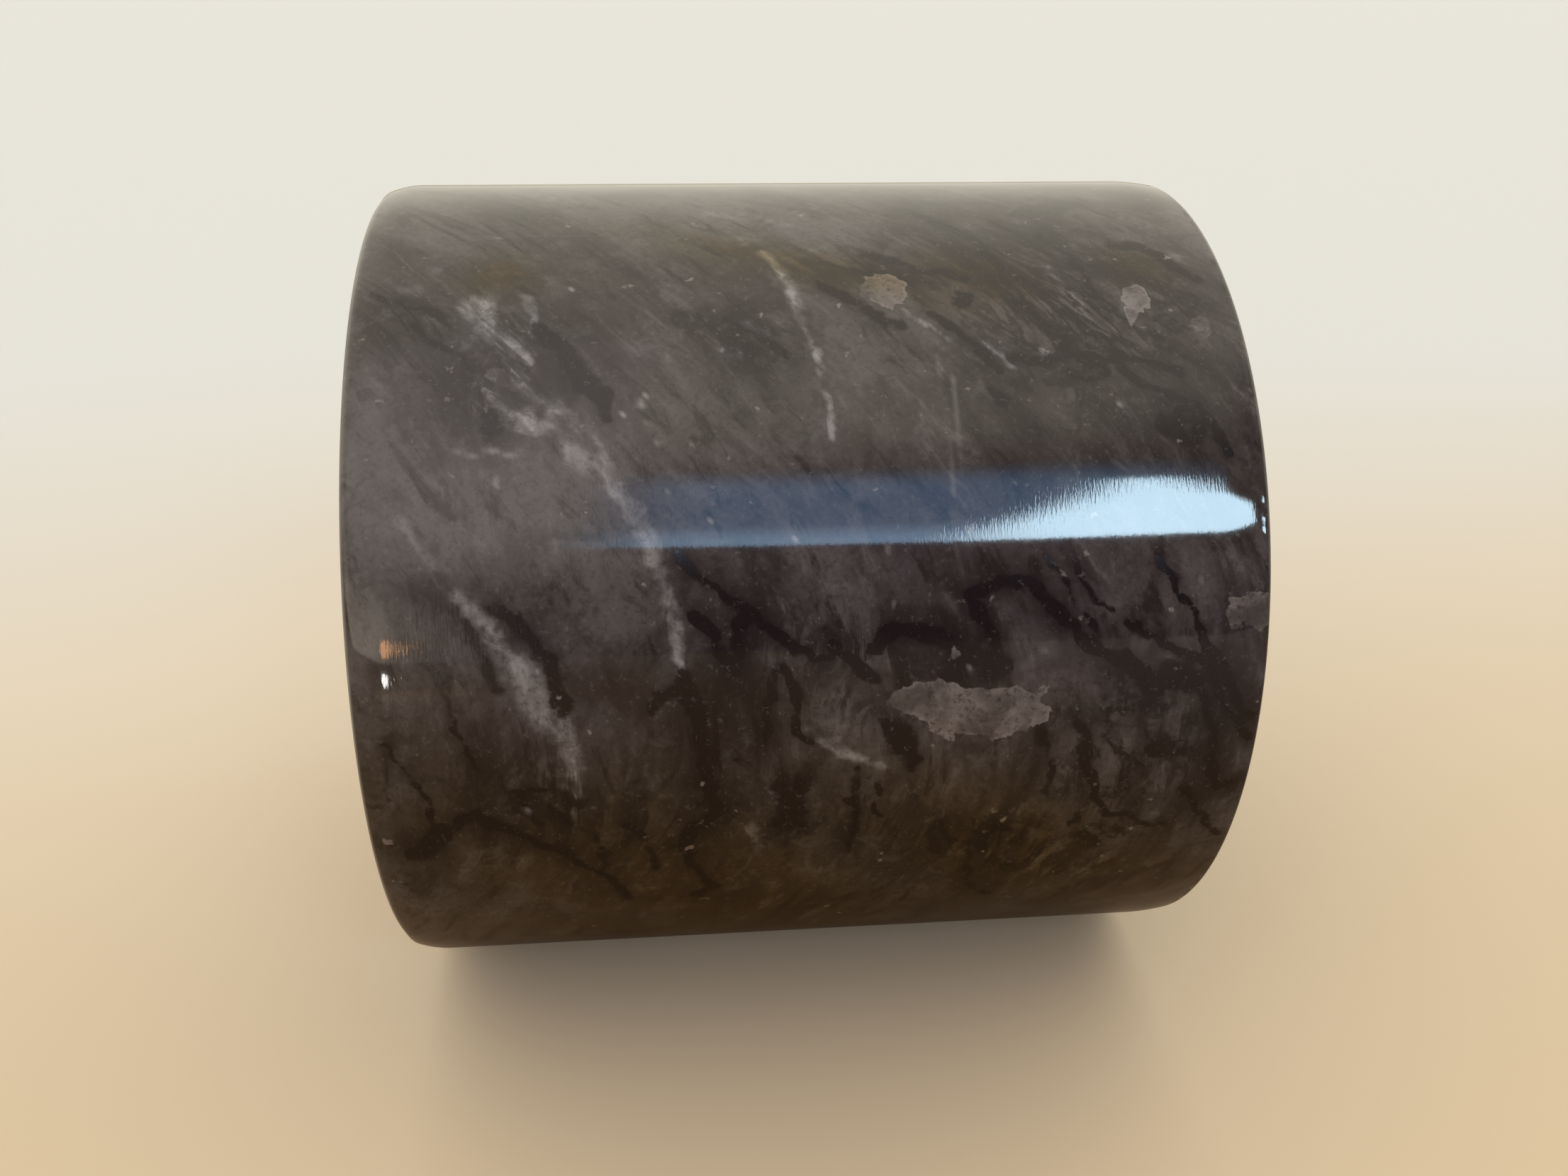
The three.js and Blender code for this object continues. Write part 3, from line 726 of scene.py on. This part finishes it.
def dark_veins(g, t, dark):
    """How much of each place is vein black: the placed veins, and threads where it is busy."""
    weave = g.noise(t.along, 100, 6.0, 0.62, 1.6)
    thread = g.smooth(g.math("ABSOLUTE", g.minus(weave, 0.5)), 0.05, 0.01)
    crack = g.noise(g.stretched(t.where, (1, 0.42, 0.5), (0, 0, -45)), 62, 6.0, 0.6, 1.2)
    crack = g.smooth(g.math("ABSOLUTE", g.minus(crack, 0.46)), 0.05, 0.012)
    thread = g.math("MAXIMUM", thread, crack)
    thread = g.times(thread, g.smooth(t.mottle, 0.34, 0.52, 0.35, 1.0))
    thread = g.times(thread, g.times_plus(t.busy, 0.95, 0.04))
    frayed = g.smooth(g.noise(t.where, 380, 4.0, 0.65), 0.34, 0.62, 0.65, 1.65)
    return g.math("MAXIMUM", g.smooth(g.times(dark, frayed), 0.05, 0.5), thread)


def with_fossils(g, t, colour):
    """Shell-like fragments with a chipped outline and a paler rind."""
    scallops = g.minus(g.noise(t.where, 430, 3.0), 0.5)
    chipped = g.times_plus(scallops, 2.2, g.attribute("fossil"))
    rind = g.smooth(chipped, 1.25, 0.55)
    tone = g.mix(t.patchy, (0.075, 0.065, 0.062), (0.15, 0.133, 0.130))
    tone = g.mix(g.times(rind, t.patchy), tone, (0.215, 0.195, 0.19))
    tone = g.cover(tone, t.grain, 0.46, 0.32, 0.5, (0.045, 0.036, 0.032))
    return g.mix(g.times(g.smooth(chipped, 0.40, 0.56), 0.9), colour, tone)


def with_surface(g, t, colour, honed, marks):
    """Grain, a warm tint that is partly painted warm shade low on the side, scratches, and pale dust in the
    grinding marks of the flat faces.
    """
    colour = g.cover(colour, t.grain, 0.5, 0.3, 0.4, (0.020, 0.015, 0.013))
    colour = g.cover(colour, t.grain, 0.57, 0.78, 0.4, (0.16, 0.152, 0.148))
    # The olive patches warm the colour further: partly tint, partly painted warm shade on the lower side.
    warm = g.times(g.attribute("olive_and_painted_shade"), 0.9)
    colour = g.mix(warm, colour, (0.96, 0.78, 0.40), "MULTIPLY")
    colour = g.mix(g.times(g.attribute("scratch"), 0.5), colour, (0.45, 0.45, 0.44))
    dust = g.smooth(g.times_plus(marks, 0.5, t.clouds), 0.6, 0.95, 0.06, 0.32)
    return g.mix(g.times(honed, dust), colour, (0.27, 0.255, 0.24))


def marble():
    """Dark grey-brown marble, polished on its side and only ground on its flat faces."""
    material, g, shader = new_material("polished_marble")
    where = g.node("ShaderNodeTexCoord", out=3)
    t = stone_textures(g, where)
    dark = g.attribute("dark")
    honed = g.minus(1.0, g.attribute("polish"))
    x, radius, around = polar(g, where)
    ground = g.joined(radius, 1900.0, around, 3.0, x, 1900.0)
    marks = g.noise(ground, 1.0, 3.0, 0.65)

    dark_share = dark_veins(g, t, dark)
    colour = with_pale_veins(g, t, stone_ground(g, t))
    colour = g.mix(g.times(dark_share, 0.95), colour, (0.0090, 0.0052, 0.0046))
    colour = with_surface(g, t, with_fossils(g, t, colour), honed, marks)
    g.put(shader.inputs["Base Color"], colour)
    rough = g.smooth(g.math("ADD", dark_share, g.times(t.mottle, 0.4)), 0.2, 1.3, 0.055, 0.16)
    g.put(shader.inputs["Roughness"], g.times_plus(honed, 0.42, rough))
    shader.inputs["IOR"].default_value = 1.52

    lines = g.joined(x, 3000.0, around, 34.0, 0.0, 1.0)
    height = g.times_plus(t.grain, 0.2, g.noise(lines, 1.0, 2.0, 0.6))
    height = g.times_plus(dark, -0.4, height)
    height = g.times_plus(g.times(honed, marks), 5.0, height)
    relief(g, shader, height, 0.0000065)
    return material


# ---- Liner, plates and rubber --------------------------------------------------------------

LINER_WALL = 4
LIFTER_COUNT = 6
LIFTER_RADIUS = 3.5
PLATE_THICKNESS = 2.4
PLATE_RADIUS = 54.5
DISH_DEPTH = 6
DISH_TOP_RADIUS = 42
DISH_FLOOR_RADIUS = 36
FINE_ROUND = np.arange(0, 360, 2)
SMALL_ROUND = np.arange(0, 360, 6)


def eased(corners, steps=5):
    """A closed outline with rounded corners. A corner is (x, radius, radius of its rounding).

    Known fault: slerp gives vectors of length 1, so each round has a radius of 1 mm about the
    centre of the stated one. Sharp corners grow by up to 0.8 mm and large bends fold.
    """
    outline = []
    for i, (x, radius, bend) in enumerate(corners):
        here = Vector((x, radius))
        before = (Vector(corners[i - 1][:2]) - here).normalized()
        after = (Vector(corners[(i + 1) % len(corners)][:2]) - here).normalized()
        if not bend:
            outline.append((x, radius))
            continue
        half = before.angle(after) / 2
        centre = here + (before + after).normalized() * bend / math.sin(half)
        start = here + before * bend / math.tan(half) - centre
        end = here + after * bend / math.tan(half) - centre
        for step in range(steps + 1):
            outline.append(tuple(centre + start.slerp(end, step / steps)))
    return outline


def reshaped(points, radius_at):
    """Points of a turned piece with their radius changed to radius_at(x, radius, angle)."""
    moved = []
    for x, y, z in points:
        up = z - BARREL_RADIUS
        radius, angle = math.hypot(y, up), math.atan2(-y, up)
        changed = radius_at(x, radius, angle) if radius > 1e-6 else 0
        moved.append((x, -changed * math.sin(angle), BARREL_RADIUS + changed * math.cos(angle)))
    return moved


def liner():
    """The rubber cup: its lifters swell out of the wall and run out before the rim."""
    outer = extent("rubber_liner", 2)[1] - BARREL_RADIUS
    chamber = outer - LINER_WALL
    floor_x = LINER_BASE_X + LINER_WALL
    rib_end = LINER_RIM_X - 2 * LIFTER_RADIUS
    wall = np.linspace(floor_x + 4, LINER_RIM_X - 1, 70)
    inner_corner = eased([(floor_x, 0, 0), (floor_x, chamber, 3), (LINER_RIM_X, chamber, 0)])[1:-1]
    rim = eased([(LINER_RIM_X - 3, chamber, 0), (LINER_RIM_X, chamber, 0.9), (LINER_RIM_X, outer, 0.9),
                 (LINER_RIM_X - 3, outer, 0)])[1:-1]
    base = arc(LINER_BASE_X + BORE_FILLET, outer - BORE_FILLET, BORE_FILLET, 90, 180)
    outline = [(LINER_BASE_X, 0), (floor_x, 0), (floor_x, chamber / 2), *inner_corner,
               *((x, chamber) for x in wall), *rim, (0, outer), *base]

    def ribbed(x, radius, angle):
        if radius > chamber + 0.1 or x < floor_x - 0.1:
            return radius
        nearest = (angle / (2 * math.pi) * LIFTER_COUNT) % 1 - 0.5
        across = abs(nearest) * 2 * math.pi * chamber / LIFTER_COUNT
        swell = math.sqrt(max(LIFTER_RADIUS**2 - across**2, 0))
        root = max(0, 1 - (across / (LIFTER_RADIUS + 1.6)) ** 2) * 1.4
        run_out = min(1, max(0, (rib_end - x) / 3))
        return min(radius, chamber - max(swell, root) * math.sqrt(run_out * (2 - run_out)))

    points, faces = lathe(outline, np.arange(0, 360, 1.25))
    add_object("moulded_liner", reshaped(points, ribbed), faces, rubber("liner_rubber", 40),
               "shell", "liner_rubber", "rubber_liner")


def plate_outline(rim_x, inward, hole):
    """A dished plate's section, with its rim's outside face at rim_x."""
    floor_x = rim_x + inward * DISH_DEPTH
    back, back_floor = rim_x + inward * PLATE_THICKNESS, floor_x + inward * PLATE_THICKNESS
    return eased([
        (floor_x, hole, 0.25), (floor_x, DISH_FLOOR_RADIUS, 4), (rim_x, DISH_TOP_RADIUS, 6.4),
        (rim_x, PLATE_RADIUS, 0.8), (back, PLATE_RADIUS, 0.5), (back, DISH_TOP_RADIUS, 4),
        (back_floor, DISH_FLOOR_RADIUS, 6.4), (back_floor, hole, 0.25),
    ], 6)


def plates(material):
    inner_x, outer_x = extent("inner_plate", 0)[0], extent("outer_plate", 0)[1]
    hole = BOLT_HOLE

    def squared(x, radius, angle):
        square = hole / max(abs(math.cos(angle)), abs(math.sin(angle)))
        return square if radius < 1.2 * hole else radius

    points, faces = lathe(plate_outline(inner_x, 1, hole), FINE_ROUND)
    add_object("pressed_inner_plate", reshaped(points, squared), faces, material, "plug",
               "pressed_steel", "inner_plate")
    points, faces = lathe(plate_outline(outer_x, -1, hole), FINE_ROUND)
    add_object("pressed_outer_plate", points, faces, material, "outer_plate", "pressed_steel",
               "outer_plate")


def seal():
    left, right = extent("seal_ring", 0)
    outer = extent("seal_ring", 2)[1] - BARREL_RADIUS
    top, throat = DISH_TOP_RADIUS + 0.3, DISH_FLOOR_RADIUS + 0.6
    slope = DISH_DEPTH - 0.3
    middle = (left + right) / 2
    groove = [(middle + side * 2.2 + offset, outer - depth, 0.3)
              for side in (1, -1) for offset, depth in ((0.7, 0), (0, 0.8), (-0.7, 0))]
    outline = eased([(left, top, 0.8), (left + slope, throat, 2), (right - slope, throat, 2),
                     (right, top, 0.8), (right, outer, 1.4), *groove, (left, outer, 1.4)])
    points, faces = lathe(outline, FINE_ROUND)
    add_object("expanding_seal", points, faces, rubber("seal_rubber", 75), "plug", "seal_rubber",
               "seal_ring")


# ---- Bolt, washers and nut -----------------------------------------------------------------

BOLT_RADIUS = 4
BOLT_HOLE = 4.3  # radius of the holes that the bolt's shank passes
THREAD_PITCH = 1.25
THREAD_DEPTH = 0.68
NECK_LENGTH = 4.6
HEAD_RADIUS = 10
HEAD_HEIGHT = 4.2


def washer(node, hole, ease, material, body, slot):
    low, high = extent(node, 0)
    outer = extent(node, 2)[1] - BARREL_RADIUS
    outline = eased([(low, hole, ease), (high, hole, ease), (high, outer, ease), (low, outer, 2 * ease)])
    points, faces = lathe(outline, np.arange(0, 360, 4))
    add_object("shaped_" + node, points, faces, material, body, slot, node)


def bolt(material):
    """Carriage bolt: domed head, square neck, and a thread on the rest of its shank."""
    head_x, end_x = extent("carriage_bolt", 0)
    seat_x = head_x + HEAD_HEIGHT
    neck_end = seat_x + NECK_LENGTH
    dome = (HEAD_RADIUS**2 + HEAD_HEIGHT**2) / (2 * HEAD_HEIGHT)
    rim = math.degrees(math.asin(HEAD_RADIUS / dome))
    crown = arc(head_x + dome, 0, dome, 180 - rim, 180, 10)[:-1]
    neck = [(seat_x, BOLT_RADIUS), (seat_x + 0.01, BOLT_RADIUS), (neck_end - 0.6, BOLT_RADIUS),
            (neck_end, BOLT_RADIUS - 0.1)]
    shank = [(x, BOLT_RADIUS) for x in np.arange(neck_end + 0.1, end_x, THREAD_PITCH / 8)]
    outline = [(head_x, 0), *crown[::-1], *neck, *shank, (end_x, BOLT_RADIUS), (end_x, 0)]

    def cut(x, radius, angle):
        if radius > BOLT_RADIUS + 0.001 or x < seat_x:
            return radius
        if x <= neck_end - 0.5:
            return min(BOLT_RADIUS / max(abs(math.cos(angle)), abs(math.sin(angle))), 5.2)
        turn = x / THREAD_PITCH - angle / (2 * math.pi)
        flank = abs(2 * (turn % 1) - 1)
        valley = THREAD_DEPTH * min(1, max(0, 1.25 * flank - 0.12))
        started = min(1, max(0, (x - neck_end) / 1.5))
        return min(BOLT_RADIUS - valley * started, BOLT_RADIUS - 1.1 + (end_x - x))

    points, faces = lathe(outline, np.arange(0, 360, 5))
    add_object("threaded_bolt", reshaped(points, cut), faces, material, "plug", "zinc_steel",
               "carriage_bolt")


def nut_wing(nut_x, side):
    """A flat, rounded wing, thicker at its root, as one closed loft of its outline."""
    hub, top, height, tip = 7.5, 6.25, 12, 16.9
    bends = [[(1, hub - 2.5), (1, tip - 4), (3, tip), (height - 4, tip)],
             [(height - 4, tip), (height - 1, tip), (height, tip - 2), (height, tip - 4)],
             [(height, tip - 4), (height, tip - 8), (9, tip - 9), (7, top - 1.5)]]
    outline = []
    for bend in bends:
        knots = [Vector((x, y, 0)) for x, y in bend]
        outline += geometry.interpolate_bezier(*knots, 14)[:-1]
    middle = sum(outline, Vector()) / len(outline)
    points = []
    for inset, half in ((0.16, 1.0), (0.03, 0.85), (0, 0.45), (0, -0.45), (0.03, -0.85), (0.16, -1.0)):
        for spot in outline:
            x, y, _ = spot.lerp(middle, inset)
            thickness = 1.75 - 0.035 * y
            points.append((nut_x + x, side * y, BARREL_RADIUS + side * half * thickness))
    count = len(outline)
    faces = [[k * count + i, k * count + (i + 1) % count, (k + 1) * count + (i + 1) % count,
              (k + 1) * count + i] for k in range(5) for i in range(count)]
    faces += [list(range(count))[::-1], list(range(5 * count, 6 * count))]
    return points, faces


def nut(material):
    """A die-cast wing nut: hub and wings melted into one by a remesh, then bored."""
    nut_x = extent("wing_nut", 0)[0]
    hub = eased([(nut_x, 0, 0), (nut_x + 8, 0, 0), (nut_x + 8, 6.25, 0.9), (nut_x, 7.5, 0.6)])
    points, faces = lathe(hub, SMALL_ROUND)
    for side in (1, -1):
        wing_points, wing_faces = nut_wing(nut_x, side)
        faces += [[corner + len(points) for corner in face] for face in wing_faces]
        points += wing_points
    piece = add_object("cast_wing_nut", points, faces, material, "wing_nut", "zinc_steel", "wing_nut")
    outline = [(nut_x - 2, 0), (nut_x + 20, 0), (nut_x + 20, BOLT_HOLE), (nut_x - 2, BOLT_HOLE)]
    cutter_points, cutter_faces = lathe(outline, SMALL_ROUND)
    mesh = bpy.data.meshes.new("nut_bore")
    mesh.from_pydata((np.asarray(cutter_points) * MM).tolist(), [], cutter_faces)
    upright(mesh)
    cutter = bpy.data.objects.new("nut_bore", mesh)
    bpy.context.scene.collection.objects.link(cutter)
    remesh = piece.modifiers.new("melt", "REMESH")
    remesh.mode = "VOXEL"
    remesh.voxel_size = 0.32 * MM
    smooth = piece.modifiers.new("soften", "SMOOTH")
    smooth.iterations = 5
    bore = piece.modifiers.new("bore", "BOOLEAN")
    bore.operation = "DIFFERENCE"
    bore.object = cutter
    graph = bpy.context.evaluated_depsgraph_get()
    made = bpy.data.meshes.new_from_object(piece.evaluated_get(graph))
    piece.modifiers.clear()
    piece.data = made
    made.shade_smooth()
    made.set_sharp_from_angle(angle=math.radians(40))
    bpy.data.objects.remove(cutter)


# ---- Other materials -----------------------------------------------------------------------


def rubber(name, dust_scale):
    """Moulded black rubber: fine pebbling, a dusty bloom and scuffs round the axis."""
    material, g, shader = new_material(name)
    where = g.node("ShaderNodeTexCoord", out=3)
    x, radius, angle = polar(g, where)
    bloom = g.noise(where, dust_scale, 5.0, 0.62, 0.4)
    pebbles = g.noise(where, 1500, 2.0, 0.5)
    turned = g.joined(x, 900.0, radius, 900.0, angle, 2.5)
    scuffs = g.noise(turned, 1.0, 3.0, 0.6)
    colour = g.mix(g.smooth(bloom, 0.38, 0.68), (0.0115, 0.0115, 0.012), (0.032, 0.031, 0.029))
    colour = g.cover(colour, scuffs, 0.6, 0.75, 0.5, (0.055, 0.052, 0.048))
    g.put(shader.inputs["Base Color"], colour)
    g.put(shader.inputs["Roughness"], g.smooth(bloom, 0.3, 0.7, 0.46, 0.68))
    relief(g, shader, g.times_plus(scuffs, 0.5, pebbles), 0.00006)
    return material


def pressed_steel():
    """Stainless sheet, pressed and brushed round its axis, with a few stray scratches."""
    material, g, shader = new_material("pressed_steel")
    where = g.node("ShaderNodeTexCoord", out=3)
    x, radius, angle = polar(g, where)
    ring = g.joined(radius, 2600.0, angle, 1.6, x, 2600.0)
    brushed = g.noise(ring, 1.0, 4.0, 0.7)
    stain = g.noise(where, 60, 4.0, 0.6)
    slanting = g.noise(g.stretched(where, (40, 300, 34), (0, 0, 30)), 1.0, 1.0)
    scratches = g.math("ABSOLUTE", g.minus(slanting, 0.5))
    scratched = g.smooth(scratches, 0.006, 0.0)
    colour = g.mix(g.smooth(stain, 0.35, 0.7), (0.60, 0.59, 0.575), (0.44, 0.43, 0.42))
    colour = g.cover(colour, brushed, 0.35, 0.7, 0.4, (0.74, 0.73, 0.72))
    g.put(shader.inputs["Base Color"], colour)
    rough = g.smooth(g.times_plus(stain, 0.5, brushed), 0.45, 1.0, 0.22, 0.42)
    g.put(shader.inputs["Roughness"], rough)
    shader.inputs["Metallic"].default_value = 1.0
    shader.inputs["Anisotropic"].default_value = 0.4
    relief(g, shader, g.times_plus(scratched, -0.6, brushed), 0.000012)
    return material


def zinc_steel():
    """Bright zinc plate with its cloudy passivation and a slightly rough, cast skin."""
    material, g, shader = new_material("zinc_steel")
    where = g.node("ShaderNodeTexCoord", out=3)
    spangle = g.noise(where, 240, 4.0, 0.6, 0.5)
    tarnish = g.noise(where, 90, 3.0, 0.55)
    skin = g.noise(where, 1300, 3.0, 0.6)
    colour = g.mix(g.smooth(spangle, 0.36, 0.66), (0.50, 0.52, 0.54), (0.70, 0.71, 0.71))
    colour = g.cover(colour, tarnish, 0.52, 0.72, 0.5, (0.58, 0.53, 0.42))
    g.put(shader.inputs["Base Color"], colour)
    g.put(shader.inputs["Roughness"], g.smooth(spangle, 0.3, 0.7, 0.26, 0.44))
    shader.inputs["Metallic"].default_value = 1.0
    relief(g, shader, skin, 0.00003)
    return material


# ---- The scene -----------------------------------------------------------------------------

bpy.context.scene.view_settings.view_transform = "Standard"
add_camera()
add_world()
add_lamp("white_lamp", (-0.1895, -0.552, 0.036), 0.018, (1, 0.97, 0.92), 0.36)
add_lamp("amber_lamp", (-0.178, -0.553, 0.117), 0.024, (1, 0.45, 0.16), 0.20)
add_fill()
add_floor()
marble_shell()
liner()
steel, zinc = pressed_steel(), zinc_steel()
plates(steel)
seal()
bolt(zinc)
washer("bolt_seal_washer", 6.2, 0.35, rubber("washer_rubber", 120), "plug", "seal_rubber")
washer("flat_washer", BOLT_HOLE, 0.22, zinc, "outer_plate", "zinc_steel")
nut(zinc)
